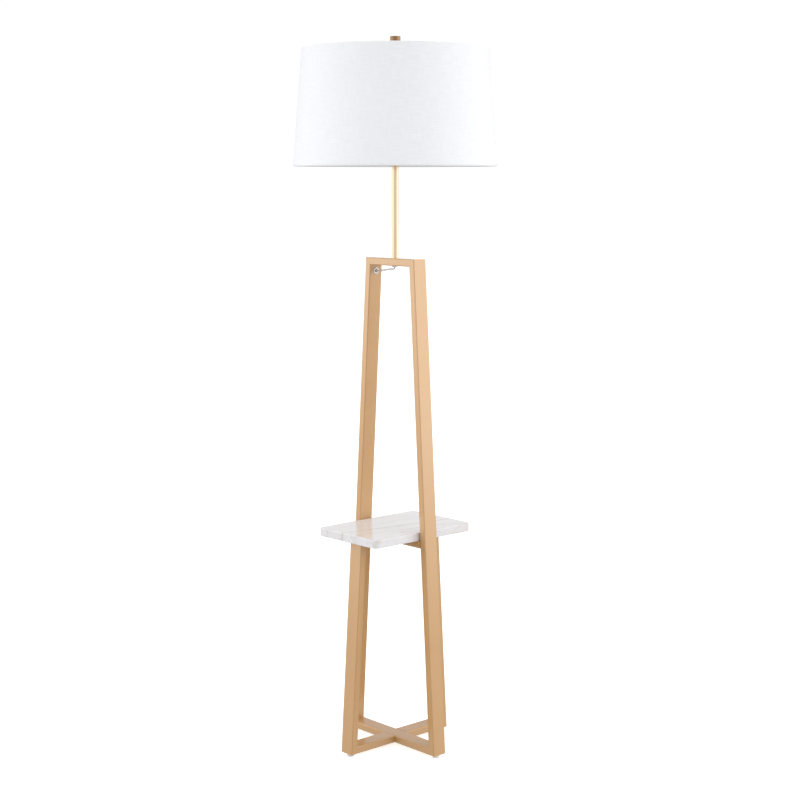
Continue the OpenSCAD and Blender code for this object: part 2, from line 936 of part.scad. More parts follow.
module harp_stud()
    color(brass)
        difference() {
            union() {
                translate([0, 0, harp_top - harp_wire_d / 2 - 1.5])
                    cylinder(h = harp_wire_d + 1.5, r = stud_boss_r);
                translate([0, 0, stud_plate_z])
                    cylinder(h = stud_plate_t, r = stud_plate_r);
                translate([0, 0, stud_plate_z])
                    cylinder(h = stud_top - stud_plate_z, d = stud_d);
            }
            translate([0, 0, harp_top])
                rotate([0, 90, 0])
                    cylinder(h = 4 * stud_boss_r, d = harp_wire_d + 2 * snug, center = true);
        }

// ---- socket and bulb ----

module socket_cap()
    color(brass)
        translate([0, 0, socket_foot])
            rotate_extrude()
                difference() {
                    union() {
                        square([cap_hub_r, cap_hub_h + 1]);
                        translate([0, cap_hub_h])
                            bowl(socket_r + cap_wall, cap_h - cap_hub_h, cap_corner);
                    }
                    translate([0, cap_hub_h + cap_wall])
                        bowl(socket_r, cap_h, cap_corner - cap_wall);
                    translate([0, -proud])
                        square([nipple_d / 2 + snug, cap_h]);
                }

// A way through the socket's wall for the switch stem
module stem_way(d)
    translate([0, 0, switch_z])
        rotate([90, 0, 0])
            cylinder(h = 2 * socket_r, d = d);

module socket_shell()
    color(brass)
        translate([0, 0, socket_foot])
            difference() {
                union() {
                    translate([0, 0, shell_foot])
                        pipe(2 * (socket_r - snug), 2 * (socket_r - shell_wall), socket_h - shell_foot);
                    ring(socket_r - shell_wall / 2, socket_h - 0.8, 1.6);
                }
                stem_way(stem_d + 2);
            }

module socket_liner()
    color([0.55, 0.40, 0.26])
        translate([0, 0, socket_foot])
            difference() {
                translate([0, 0, shell_foot + 0.5])
                    pipe(2 * liner_r, 2 * (liner_r - liner_wall), socket_h - shell_foot - 2.5);
                stem_way(stem_d + 2);
            }

module socket_body()
    color(black)
        translate([0, 0, socket_foot])
            difference() {
                union() {
                    translate([0, 0, body_foot])
                        cylinder(h = body_top - body_foot, r = body_r - 4);
                    translate([0, 0, shell_foot])
                        cylinder(h = body_top - shell_foot, r = body_r);
                }
                intersection() {
                    stem_way(stem_d + 2 * running);
                    translate([0, -socket_r - 5, switch_z])
                        cube([socket_r, 2 * socket_r, socket_r], center = true);
                }
            }

module screw_shell()
    color(brass)
        translate([0, 0, socket_foot + body_top]) {
            pipe(2 * screw_shell_r, 2 * (screw_shell_r - screw_shell_wall), screw_shell_top - body_top);
            for (i = [1 : floor((screw_shell_top - body_top) / thread_pitch) - 1])
                ring(screw_shell_r, i * thread_pitch, 2 * screw_shell_wall);
        }

module centre_contact()
    color(brass)
        translate([0, 0, socket_foot + body_top]) {
            cylinder(h = 0.6, r = 5);
            cylinder(h = bulb_foot - body_top, r = 2.4);
        }

module switch_stem()
    color(brass)
        translate([0, -5 - running, socket_foot + switch_z])
            rotate([90, 0, 0])
                cylinder(h = knob_start + knob_boss_l - 5 - running, d = stem_d);

module switch_knob()
    color(black)
        translate([0, -knob_start, socket_foot + switch_z])
            rotate([90, 0, 0])
                difference() {
                    union() {
                        cylinder(h = knob_boss_l, r = 4.5);
                        translate([0, 0, knob_boss_l])
                            linear_extrude(knob_l - knob_boss_l)
                                rounded(12.5, 5, 2.4);
                    }
                    translate([0, 0, -proud])
                        cylinder(h = knob_boss_l + proud, d = stem_d);
                }

module bulb_cap()
    color(steel)
        translate([0, 0, socket_foot + bulb_foot]) {
            cylinder(h = 1, r = 3.2);
            translate([0, 0, 1])
                cylinder(h = 3, r1 = 5, r2 = bulb_cap_r - 1);
            translate([0, 0, 4])
                cylinder(h = 21, r = bulb_cap_r - 0.3);
            for (i = [1 : 5])
                ring(bulb_cap_r - 0.5, 4 + (i - 0.3) * thread_pitch, 1.2);
        }

// Half of a bulb's outline, drawn inwards by t
module bulb_outline(t, low)
    intersection() {
        union() {
            translate([0, globe_z])
                circle(globe_r - t, $fn = 96);
            difference() {
                polygon([
                    [0, low], [bulb_neck_r - t, low], [bulb_neck_r - t, bulb_fillet_z],
                    [
                        (bulb_neck_r + bulb_fillet_r) * globe_r / (globe_r + bulb_fillet_r),
                        globe_z - (globe_z - bulb_fillet_z) * globe_r / (globe_r + bulb_fillet_r)
                    ],
                    [0, globe_z]
                ]);
                translate([bulb_neck_r + bulb_fillet_r, bulb_fillet_z])
                    circle(bulb_fillet_r + t, $fn = 192);
            }
        }
        square([globe_r + proud, globe_z + globe_r + proud]);
    }

module bulb_glass()
    color(white)
        translate([0, 0, socket_foot])
            rotate_extrude()
                difference() {
                    bulb_outline(0, bulb_cap_top);
                    bulb_outline(1, bulb_cap_top - proud);
                }

// ---- shade ----

module spider()
    color(white) {
        translate([0, 0, hub_z])
            pipe(hub_d, stud_d + 2 * seat, hub_t);
        rim_z = shade_top_z - rim_inset;
        reach = rim_r(rim_z) - arm_start;
        climb = rim_z - hub_z - hub_t / 2;
        for (turn = [90 : 120 : 330])
            rotate([0, 0, turn])
                translate([arm_start, 0, hub_z + hub_t / 2])
                    rotate([0, 90 - atan(climb / reach), 0])
                        cylinder(h = norm([reach, climb]), d = arm_d);
        ring(rim_r(rim_z), rim_z, rim_wire_d);
    }

module shade_bottom_ring()
    color(white)
        ring(rim_r(shade_foot_z + rim_inset), shade_foot_z + rim_inset, rim_wire_d);

// A cone-shaped sheet, from this depth behind the shade's surface to that one
module shade_sheet(from, to)
    rotate_extrude($fn = 180)
        polygon([
            [shade_bottom_d / 2 - to, shade_foot_z], [shade_bottom_d / 2 - from, shade_foot_z],
            [shade_top_d / 2 - from, shade_top_z], [shade_top_d / 2 - to, shade_top_z]
        ]);

module shade_lining()
    color(white)
        shade_sheet(fabric_t, fabric_t + lining_t);

module shade_fabric()
    color(white)
        shade_sheet(0, fabric_t);

module finial()
    color(bronze)
        translate([0, 0, finial_z])
            rotate_extrude()
                difference() {
                    union() {
                        square([stud_d / 2 + 4, 1.6]);
                        square([stud_d / 2 + 1.8, finial_h - 1]);
                        translate([0, finial_h - finial_knob_h / 2])
                            intersection() {
                                rounded(finial_d, finial_knob_h, finial_edge);
                                translate([0, -finial_knob_h])
                                    square([finial_d, 2 * finial_knob_h]);
                            }
                    }
                    translate([0, -proud])
                        square([stud_d / 2 + running, stud_top - finial_z + proud + 1]);
                }

tall_leg_front();
tall_leg_back();
top_bar();
tall_shelf_rail();
tall_base_bar();
short_leg_front();
short_leg_back();
short_shelf_rail_front();
short_shelf_rail_back();
short_base_bar_front();
short_base_bar_back();
glide_tall_front();
glide_tall_back();
glide_short_front();
glide_short_back();
glide_screws();
shelf();
shelf_inserts();
shelf_screws();
pole();
pole_foot_bush();
pole_nipple();
lock_washer();
lock_nut();
pole_lead();
link_cord();
cord_grommet();
leg_lead();
strain_relief();
mains_cord();
cord_hank();
cord_tie();
mains_plug();
plug_blades();
pole_top_bush();
socket_nipple();
harp_saddle();
harp();
harp_stud();
harp_sleeve_left();
harp_sleeve_right();
socket_cap();
socket_shell();
socket_liner();
socket_body();
screw_shell();
centre_contact();
switch_stem();
switch_knob();
bulb_cap();
bulb_glass();
spider();
shade_bottom_ring();
shade_lining();
shade_fabric();
finial();
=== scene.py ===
"""Floor lamp with table: finishes, shade cover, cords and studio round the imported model.

Row frame, metres: origin on the floor at the lamp's axis, +Z up, the shelf's long side
along X and the tall frame along Y. The cords' routes are in millimetres, as they are in
the construction, and are scaled once.
"""

import json
import math

import bmesh
import bpy
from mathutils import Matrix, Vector


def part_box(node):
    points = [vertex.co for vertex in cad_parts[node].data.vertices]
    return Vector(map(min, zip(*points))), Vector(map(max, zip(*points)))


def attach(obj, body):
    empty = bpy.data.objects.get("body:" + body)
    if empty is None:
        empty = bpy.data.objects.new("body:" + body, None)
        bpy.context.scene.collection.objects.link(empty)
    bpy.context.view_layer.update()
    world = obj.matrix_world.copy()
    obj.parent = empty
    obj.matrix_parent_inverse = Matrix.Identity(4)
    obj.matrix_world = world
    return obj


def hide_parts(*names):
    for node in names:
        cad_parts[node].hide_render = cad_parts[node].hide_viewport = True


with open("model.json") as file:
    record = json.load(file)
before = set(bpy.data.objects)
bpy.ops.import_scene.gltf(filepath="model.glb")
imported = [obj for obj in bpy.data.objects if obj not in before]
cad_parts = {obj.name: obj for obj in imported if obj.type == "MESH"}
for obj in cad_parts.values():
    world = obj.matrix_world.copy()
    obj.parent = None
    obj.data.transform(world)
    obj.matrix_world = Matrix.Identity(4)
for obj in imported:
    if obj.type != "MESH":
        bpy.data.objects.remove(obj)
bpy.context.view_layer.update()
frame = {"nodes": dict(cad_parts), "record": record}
NODES = frame["nodes"]
MM = 0.001


# ---- camera ----

EYE = (-2.3703, -2.6135, 1.2238)      # metres
HEADING = -42.21                      # degrees from +Y
TILT = -6.43                          # degrees above level
SENSOR = 36
FOCAL_LENGTH = 74.75
SHIFT = (0.00575, -0.04)              # no more than other views of the whole lamp can take


def photo_camera():
    data = bpy.data.cameras.new("photo_camera")
    data.sensor_width = SENSOR
    data.lens = FOCAL_LENGTH
    data.shift_x, data.shift_y = SHIFT
    camera = bpy.data.objects.new("photo_camera", data)
    camera.location = EYE
    camera.rotation_euler = (math.radians(90 + TILT), 0, math.radians(HEADING))
    bpy.context.scene.collection.objects.link(camera)
    bpy.context.scene.camera = camera


# ---- finishes ----

def srgb(red, green, blue):
    """A colour as it is seen on a screen, 0 to 255, as the linear RGBA that a shader takes."""
    def linear(c):
        c /= 255
        return c / 12.92 if c <= 0.04045 else ((c + 0.055) / 1.055) ** 2.4
    return (linear(red), linear(green), linear(blue), 1)


class Finish:
    """A procedural material: a Principled shader, and nodes that feed it."""

    def __init__(self, name, **sockets):
        self.material = bpy.data.materials.new(name)
        self.material.use_nodes = True
        self.tree = self.material.node_tree
        self.shader = self.tree.nodes["Principled BSDF"]
        coordinates = self.node("TexCoord")
        self.place = coordinates.outputs["Object"]
        self.uv = coordinates.outputs["UV"]
        self.set(**sockets)

    def feed(self, socket, value):
        if isinstance(value, bpy.types.NodeSocket):
            self.tree.links.new(value, socket)
        else:
            socket.default_value = value

    def set(self, **sockets):
        """Sets the shader's sockets, named as base_color or coat_weight."""
        for name, value in sockets.items():
            title = "IOR" if name == "ior" else name.replace("_", " ").title()
            self.feed(self.shader.inputs[title], value)

    def node(self, kind, inputs=(), **settings):
        made = self.tree.nodes.new("ShaderNode" + kind)
        for name, value in settings.items():
            setattr(made, name, value)
        for key, value in dict(inputs).items():
            self.feed(made.inputs[key], value)
        return made

    def noise(self, size, detail=2, place=None, distortion=0):
        """Noise from 0 to 1 whose blobs are about this size, in metres."""
        return self.node("TexNoise", {
            "Vector": place or self.place, "Scale": 1 / size, "Detail": detail,
            "Distortion": distortion,
        }).outputs["Fac"]

    def stretched(self, scale, turn=0, place=None):
        """Coordinates scaled by axis and turned about Z, in degrees."""
        return self.node("Mapping", {
            "Vector": place or self.place, "Scale": scale,
            "Rotation": (0, 0, math.radians(turn)),
        }).outputs["Vector"]

    def math(self, operation, a, b=0.0, c=0.0):
        return self.node(
            "Math", {0: a, 1: b, 2: c}, operation=operation
        ).outputs["Value"]

    def between(self, value, low, high, at_low=0.0, at_high=1.0):
        """value eased from at_low to at_high as it goes from low to high."""
        return self.node("MapRange", {
            "Value": value, "From Min": low, "From Max": high,
            "To Min": at_low, "To Max": at_high,
        }, interpolation_type="SMOOTHSTEP").outputs["Result"]

    def mix(self, share, a, b):
        made = self.node("Mix", data_type="RGBA")
        self.feed(made.inputs[0], share)
        self.feed(made.inputs[6], a)
        self.feed(made.inputs[7], b)
        return made.outputs[2]

    def bump(self, height, depth, under=None):
        """Adds relief that is this deep, in metres, over the relief under it."""
        inputs = {"Height": height, "Distance": depth, "Strength": 1.0}
        if under:
            inputs["Normal"] = under
        normal = self.node("Bump", inputs).outputs["Normal"]
        self.feed(self.shader.inputs["Normal"], normal)
        return normal


def frame_paint():
    """Satin gold paint: fine flake in a smooth coat with a faint orange peel."""
    finish = Finish("satin_gold_paint", metallic=0.1, ior=1.6,
                    coat_weight=1.0, coat_roughness=0.035)
    cloudy = finish.noise(0.09, 3)
    flake = finish.noise(0.0006, 1)
    tone = finish.mix(cloudy, srgb(199, 152, 96), srgb(209, 163, 107))
    finish.set(
        base_color=finish.mix(finish.between(flake, 0.55, 0.8, 0, 0.3), tone,
                              srgb(222, 191, 140)),
        roughness=finish.between(cloudy, 0.2, 0.8, 0.36, 0.44),
    )
    finish.bump(finish.noise(0.006, 2), 0.00001)
    return finish.material


# The marble's main veins: place across the slab in metres, half width, and strength
VEINS = ((0.1702, 0.0016, 0.66), (0.2182, 0.0045, 0.09), (0.1335, 0.005, 0.11))
VEIN_SLANT = 0.16                     # across the slab for each metre along it
VEIN_DIP = 0.35                       # across it for each metre down
VEIN_WANDER = 0.022                   # metres that a noise moves them across it


def marble():
    """Polished white marble with long soft veins that run along the shelf."""
    finish = Finish(
        "polished_marble", ior=1.55, coat_weight=0.3, coat_roughness=0.04,
        subsurface_weight=0.08, subsurface_radius=(0.006, 0.005, 0.004),
    )
    along = finish.stretched((1, 2.8, 2.2), -9)
    warp = finish.noise(0.07, 4, along)
    cloud = finish.noise(0.05, 5, along, 0.6)
    body = finish.mix(cloud, srgb(230, 228, 230), srgb(241, 240, 242))

    beige = finish.between(finish.noise(0.045, 4, along, 1.2), 0.52, 0.72, 0, 0.6)
    body = finish.mix(beige, body, srgb(226, 212, 201))

    folds = finish.noise(0.085, 6, along, 0.9)
    ridge = finish.math("ABSOLUTE", finish.math("SUBTRACT", folds, 0.5))
    hair_veins = finish.between(ridge, 0.0, 0.02, 0.26, 0)
    patchy = finish.between(finish.noise(0.06, 2), 0.42, 0.66)
    body = finish.mix(finish.math("MULTIPLY", hair_veins, patchy), body, srgb(176, 164, 158))

    split = finish.node("SeparateXYZ", {0: finish.place}).outputs
    across = finish.math("MULTIPLY_ADD", split["X"], VEIN_SLANT, split["Y"])
    across = finish.math("MULTIPLY_ADD", split["Z"], VEIN_DIP, across)
    across = finish.math("MULTIPLY_ADD", warp, VEIN_WANDER, across)
    for place, half_width, strength in VEINS:
        off = finish.math("ABSOLUTE", finish.math("SUBTRACT", across, place))
        vein = finish.between(off, 0.0, half_width, strength, 0)
        haze = finish.between(off, 0.0, 7 * half_width, 0.28 * strength, 0)
        body = finish.mix(haze, body, srgb(205, 190, 178))
        body = finish.mix(vein, body, srgb(138, 124, 116))

    finish.set(base_color=body, roughness=finish.between(cloud, 0.2, 0.8, 0.07, 0.13))
    finish.bump(finish.noise(0.012, 3), 0.000015)
    return finish.material


METAL_GRAIN = 0.00035


def brushed_metal(name, dark, light, rough, smear, depth=0.000004):
    """Bare or plated metal with fine lines, drawn out by smear along its axes."""
    finish = Finish(name, metallic=1.0)
    lines = finish.noise(METAL_GRAIN, 3, finish.stretched(smear))
    patina = finish.noise(0.02, 3)
    finish.set(
        base_color=finish.mix(patina, dark, light),
        roughness=finish.between(lines, 0.2, 0.8, 0.75 * rough, 1.25 * rough),
    )
    finish.bump(lines, depth)
    return finish.material


def pole_plating():
    return brushed_metal("pale_brass_plating", srgb(202, 181, 154), srgb(210, 190, 163),
                         0.14, (1, 1, 0.01), depth=0.000001)


def finial_bronze():
    return brushed_metal("finial_bronze", srgb(132, 102, 74), srgb(148, 116, 86),
                         0.24, (0.15, 0.15, 1))


def brass():
    return brushed_metal("brass", srgb(214, 172, 96), srgb(230, 194, 122), 0.24, (1, 1, 0.1))


def steel():
    return brushed_metal("zinc_plated_steel", srgb(176, 176, 180), srgb(202, 202, 204),
                         0.3, (1, 1, 0.3))


def moulded_plastic(name, colour, rough, grain=0.0009, depth=0.00002, **sockets):
    """Moulded plastic with a faint spark-eroded grain."""
    finish = Finish(name, **sockets)
    mottled = finish.noise(0.012, 2)
    pale = [min(1, 1.12 * c) for c in colour[:3]] + [1]
    finish.set(
        base_color=finish.mix(mottled, colour, pale),
        roughness=finish.between(mottled, 0.2, 0.8, rough - 0.05, rough + 0.07),
    )
    finish.bump(finish.noise(grain, 2), depth)
    return finish.material


def glide_nylon():
    return moulded_plastic("glide_nylon", srgb(238, 234, 230), 0.42,
                           subsurface_weight=0.25, subsurface_radius=(0.004, 0.004, 0.004))


def lead_plastic():
    return moulded_plastic("lead_plastic", srgb(196, 194, 190), 0.26, coat_weight=0.4,
                           coat_roughness=0.12, subsurface_weight=0.2,
                           subsurface_radius=(0.002, 0.002, 0.002))


def grommet_plastic():
    return moulded_plastic("grommet_plastic", srgb(240, 240, 240), 0.3, coat_weight=0.2)


def tie_plastic():
    return moulded_plastic("tie_plastic", srgb(34, 34, 36), 0.55, 0.0006, 0.00008)


def socket_phenolic():
    return moulded_plastic("socket_phenolic", srgb(30, 27, 26), 0.28, coat_weight=0.3)


def liner_fibre():
    """Brown vulcanised fibre board."""
    finish = Finish("liner_fibre")
    fibres = finish.noise(0.0012, 4, finish.stretched((1, 1, 0.2)))
    finish.set(base_color=finish.mix(fibres, srgb(118, 82, 52), srgb(158, 118, 80)),
               roughness=finish.between(fibres, 0.3, 0.7, 0.6, 0.8))
    finish.bump(fibres, 0.00005)
    return finish.material


def bulb_opal_glass():
    finish = Finish("bulb_opal_glass", coat_weight=0.6, coat_roughness=0.03,
                    subsurface_weight=0.4, subsurface_radius=(0.01, 0.01, 0.01))
    coating = finish.noise(0.004, 3)
    finish.set(base_color=finish.mix(coating, srgb(240, 239, 235), srgb(248, 247, 244)),
               roughness=finish.between(coating, 0.2, 0.8, 0.2, 0.3))
    return finish.material


def shade_wire():
    """White paint baked on steel wire."""
    finish = Finish("painted_wire", coat_weight=0.3, coat_roughness=0.2)
    thick = finish.noise(0.006, 2)
    finish.set(base_color=finish.mix(thick, srgb(232, 232, 231), srgb(243, 243, 242)),
               roughness=finish.between(thick, 0.2, 0.8, 0.3, 0.42))
    finish.bump(thick, 0.00008)
    return finish.material


def shade_lining():
    """Styrene film behind the fabric, whose weave shows through faintly."""
    finish = Finish("styrene_lining", coat_weight=0.15, coat_roughness=0.3)
    threads = finish.noise(0.0009, 2, finish.stretched((1, 1, 0.12)))
    finish.set(base_color=finish.mix(threads, srgb(240, 240, 240), srgb(247, 247, 247)),
               roughness=finish.between(threads, 0.3, 0.7, 0.42, 0.5))
    finish.bump(threads, 0.00001)
    return finish.material


WARP_PITCH = 0.00062
WEFT_PITCH = 0.00071


def shade_fabric():
    """White linen weave, with painted shade in the gaps between its threads and a painted
    shadow along the lap's free edge at the seam. Its coordinates are metres round the shade
    from the seam, and up.
    """
    finish = Finish("white_linen", sheen_weight=0.25, sheen_roughness=0.5)

    def threads(pitch, direction):
        # A band of a wave texture is a twentieth of a turn for each unit of its scale
        return finish.node("TexWave", {
            "Vector": finish.uv, "Scale": 2 * math.pi / 20 / pitch,
        }, bands_direction=direction).outputs["Fac"]

    warp, weft = threads(WARP_PITCH, "X"), threads(WEFT_PITCH, "Y")
    upright = finish.noise(0.03, 3, finish.stretched((28, 1, 1), place=finish.uv))
    level = finish.noise(0.035, 3, finish.stretched((1, 30, 1), place=finish.uv))
    slubs = finish.math("ADD", upright, level)
    cloth = finish.math("MAXIMUM", finish.math("MULTIPLY", warp, upright),
                        finish.math("MULTIPLY", weft, level))
    tone = finish.between(slubs, 0.75, 1.25)
    # Painted shade: the weave is darker in the gaps between its threads
    thread_gap_shade = finish.between(cloth, 0.05, 0.45, 0.35, 0)
    colour = finish.mix(tone, srgb(243, 244, 248), srgb(249, 250, 252))
    colour = finish.mix(thread_gap_shade, colour, srgb(226, 227, 233))
    # Painted shadow: a grey line along the lap's free edge at the seam
    from_edge = finish.math("ABSOLUTE", finish.node("SeparateXYZ", {0: finish.uv}).outputs["X"])
    seam_edge_shadow = finish.between(from_edge, 0.4 * SEAM_LINE, SEAM_LINE, 0.38, 0)
    finish.set(base_color=finish.mix(seam_edge_shadow, colour, srgb(176, 177, 184)),
               roughness=finish.between(cloth, 0.0, 0.6, 0.92, 0.8))
    finish.bump(cloth, 0.00012, finish.bump(slubs, 0.00005))
    return finish.material


FINISHES = {
    "frame_paint": frame_paint, "glide_nylon": glide_nylon, "steel": steel,
    "marble": marble, "brass": brass, "pole_plating": pole_plating,
    "finial_bronze": finial_bronze, "lead_plastic": lead_plastic,
    "grommet_plastic": grommet_plastic, "tie_plastic": tie_plastic,
    "liner_fibre": liner_fibre, "socket_phenolic": socket_phenolic,
    "bulb_opal_glass": bulb_opal_glass, "shade_wire": shade_wire,
    "shade_lining": shade_lining, "shade_fabric": shade_fabric,
}


def dress_nodes(materials):
    for part in frame["record"]["subparts"]:
        for holder in NODES[part["node"]].material_slots:
            holder.material = materials[part["material_slot"]]


# ---- meshes ----

def smooth_piece(name, mesh, body, slot, materials):
    piece = bpy.data.objects.new(name, mesh)
    bpy.context.scene.collection.objects.link(piece)
    mesh.materials.append(materials[slot])
    for face in mesh.polygons:
        face.use_smooth = True
    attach(piece, body)
    return piece


# ---- cords ----

CORD_D = 3.6

LINK_ROUTE = [
    (0, 0, 1046.2), (0, 0, 1045.2), (0, 0.27, 1043.2), (0, 1.05, 1041.3),
    (0, 2.3, 1039.7), (0, 3.9, 1038.45), (0, 5.8, 1037.67), (0, 7.8, 1037.4),
    (0, 11, 1037.3), (0, 15, 1037), (0, 20, 1036.4), (0, 27, 1035.3),
    (0, 34, 1034.2), (0, 41, 1033.2), (0, 48, 1032.4), (0, 54, 1031.9),
    (0, 57.8, 1031.75), (0, 60.26, 1031.9),
]
FLOOR_ROUTE = [
    (0, 147, 20), (0, 147, 17), (0.2, 147.9, 12.4), (1, 150.2, 8.2), (2.8, 153.8, 5),
    (5.4, 158.2, 3.3), (8.6, 163, 2.8), (12.4, 167.9, 2.8), (16.6, 172.7, 2.8),
    (21, 177.5, 2.8),
]
# In the hank's own directions: along it, across it and up
PLUG_ROUTE = [
    (24, 14.4, 13.6), (30, 14.4, 13.9), (34.7, 13.6, 14.5), (39.8, 10.4, 15.7),
    (43, 5.3, 17.2), (43.7, -0.6, 18.8), (42, -6.3, 20.4), (37.9, -10.7, 21.8),
    (32.4, -13, 22.8), (27.1, -12.9, 23.2), (22, -11.8, 23.2),
]
HANK_AT = (49, 189)
HANK_TURN = 48                        # degrees from +X
HANK_RUN = 64
HANK_FOOT = 1                         # the tie's thickness, under the lowest turn
OUTER_LANE = 14.4
INNER_LANE = 10.8
TURNS = 8
FOLD_STEPS = 8
RUN_POINTS = (-0.5, -0.17, 0.17, 0.5)  # along a straight run, as shares of it


def from_hank(point):
    along, across, up = point
    turn = math.radians(HANK_TURN)
    return (
        HANK_AT[0] + along * math.cos(turn) - across * math.sin(turn),
        HANK_AT[1] + along * math.sin(turn) + across * math.cos(turn),
        up,
    )


def hank_turns():
    """The coil, in the hank's own directions. Each layer has an outer and an inner turn,
    and the cord changes lane or layer in the folds at the near end. It comes in and goes
    out along a straight run, so both ends lack that run's end point."""
    def place(turn):
        lane = OUTER_LANE if turn % 4 in (0, 3) else INNER_LANE
        return lane, HANK_FOOT + (turn // 2 + 0.5) * CORD_D

    line = []
    for turn in range(TURNS - 1):
        lane, up = place(turn)
        next_lane, next_up = place(turn + 1)
        line += [(x * HANK_RUN, lane, up) for x in RUN_POINTS]
        for step in range(1, FOLD_STEPS):
            angle = math.pi * (0.5 - step / FOLD_STEPS)
            line.append((HANK_RUN / 2 + lane * math.cos(angle), lane * math.sin(angle), up))
        line += [(-x * HANK_RUN, -lane, up) for x in RUN_POINTS]
        for step in range(1, FOLD_STEPS):
            share = step / FOLD_STEPS
            angle = math.pi * (1.5 - share)
            middle, radius = (next_lane - lane) / 2, (next_lane + lane) / 2
            line.append((
                -HANK_RUN / 2 + radius * math.cos(angle), middle + radius * math.sin(angle),
                up + (next_up - up) * (1 - math.cos(math.pi * share)) / 2,
            ))
    lane, up = place(TURNS - 1)
    line += [(x * HANK_RUN, lane, up) for x in RUN_POINTS]
    return line[1:-1]


def cord_curve(name, route, slot, materials):
    """A round cord that runs smoothly through the route's points, in millimetres."""
    curve = bpy.data.curves.new(name, "CURVE")
    curve.dimensions = "3D"
    curve.resolution_u = 4
    curve.bevel_depth = CORD_D / 2 * MM
    curve.bevel_resolution = 4
    curve.use_fill_caps = True
    spline = curve.splines.new("BEZIER")
    spline.bezier_points.add(len(route) - 1)
    for knot, point in zip(spline.bezier_points, route):
        knot.co = Vector(point) * MM
        knot.handle_left_type = knot.handle_right_type = "AUTO"
    curve.materials.append(materials[slot])
    piece = bpy.data.objects.new(name, curve)
    bpy.context.scene.collection.objects.link(piece)
    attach(piece, "root")
    return piece


def cords(materials):
    link = cord_curve("link_cord_line", LINK_ROUTE, "lead_plastic", materials)
    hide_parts("link_cord")

    route = FLOOR_ROUTE + [from_hank(p) for p in hank_turns() + PLUG_ROUTE]
    mains = cord_curve("mains_lead_line", route, "lead_plastic", materials)
    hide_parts("mains_cord", "cord_hank")


# ---- shade ----

SHADE_SEGMENTS = 240
WALL_ROWS = 40
ROLL_STEPS = 10
TURN_IN_STEPS = 4
SHEET_T = 0.0005
WIRE_COVER = 0.00135                  # fabric, lining and clearances outside a rim wire
ROLL_R = 0.0022                       # the fabric rolled over a rim wire
TURN_IN = 0.008                       # how far it goes on inside
SEAM_AT = 48                          # degrees from +X, at the back
SEAM_W = 0.012
SEAM_PROUD = 0.0005
SEAM_LINE = 0.0016                    # half the width of the shadow at the lap's free edge


def shade_line(foot, top, foot_r, top_r):
    """The fabric's line from inside its lower rim, up outside and in over its upper rim."""
    def roll(z, r, side):
        centre = (r - ROLL_R, z - side * ROLL_R)
        arc = [
            (centre[0] + ROLL_R * math.cos(a), centre[1] + side * ROLL_R * math.sin(a))
            for a in (math.pi * k / ROLL_STEPS for k in range(ROLL_STEPS + 1))
        ]
        turn_in = [
            (r - 2 * ROLL_R, centre[1] - side * TURN_IN * k / TURN_IN_STEPS)
            for k in range(1, TURN_IN_STEPS + 1)
        ]
        return arc + turn_in

    wall = [
        (foot_r + (top_r - foot_r) * k / WALL_ROWS, foot + (top - foot) * k / WALL_ROWS)
        for k in range(1, WALL_ROWS)
    ]
    return roll(foot, foot_r, -1)[::-1] + wall + roll(top, top_r, 1)


def shade_cover(materials):
    """The linen cover: one sheet rolled over both rim wires, lapped in a seam at the back."""
    low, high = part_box("shade_fabric")
    inset = SHEET_T / 2
    foot_r = (high[0] - low[0]) / 2 - inset
    ring_low, ring_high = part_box("spider")
    top_r = (ring_high[0] - ring_low[0]) / 2 + WIRE_COVER - inset
    line = shade_line(low[2] + inset, high[2] - inset, foot_r, top_r)

    mesh = bpy.data.meshes.new("shade_cover")
    build = bmesh.new()
    uv = build.loops.layers.uv.new("cloth")
    travelled = [0.0]
    for a, b in zip(line, line[1:]):
        travelled.append(travelled[-1] + math.dist(a, b))
    rings = []
    for segment in range(SHADE_SEGMENTS):
        angle = 2 * math.pi * segment / SHADE_SEGMENTS
        past_seam = (angle - math.radians(SEAM_AT)) % (2 * math.pi) * foot_r
        proud = SEAM_PROUD if past_seam < SEAM_W else 0
        rings.append([
            build.verts.new(((r + proud) * math.cos(angle), (r + proud) * math.sin(angle), z))
            for r, z in line
        ])
    for segment, ring in enumerate(rings):
        following = rings[(segment + 1) % SHADE_SEGMENTS]
        for k in range(len(line) - 1):
            face = build.faces.new((ring[k], following[k], following[k + 1], ring[k + 1]))
            for loop, (step, row) in zip(face.loops, ((0, k), (1, k), (1, k + 1), (0, k + 1))):
                turns = (segment + step) / SHADE_SEGMENTS - SEAM_AT / 360
                around = turns * 2 * math.pi * foot_r
                loop[uv].uv = (around, travelled[row])
    build.to_mesh(mesh)
    build.free()
    cover = smooth_piece("shade_cover", mesh, "shade", "shade_fabric", materials)
    thick = cover.modifiers.new("thickness", "SOLIDIFY")
    thick.thickness = SHEET_T
    thick.offset = 0
    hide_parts("shade_fabric")


# ---- studio ----

FLOOR_REACH = 30
FLOOR_GLOW = 0.68                     # keeps the floor as white as the photograph's
# The white room's light by the cosine of the angle to a direction: the way the camera looks,
# its right, and upward. It is brightest at both sides, and falls off above and below level.
ROOM_AHEAD = ((-1, 0.42), (-0.94, 0.34), (-0.8, 0.52), (-0.3, 0.66), (0, 1), (0.3, 0.68),
              (0.6, 0.44), (1, 0.365))
ROOM_RIGHT = ((-1, 0.9), (1, 1))
ROOM_UPWARD = ((-1, 0.3), (-0.4, 0.28), (-0.2, 0.26), (-0.04, 1), (0.14, 1), (0.32, 0.6),
               (0.6, 0.42), (1, 0.34))
ROOM_LIGHT = 3.03
# Two softboxes level with the shade: degrees from the camera, and power. They light the
# lamp's upper half without showing in its gloss.
SOFTBOXES = ((-60, 5.5), (56, 5.0))
SOFTBOX_SIZE = 1.0
SOFTBOX_AT = (1.6, 1.25)              # from the lamp's axis, and height


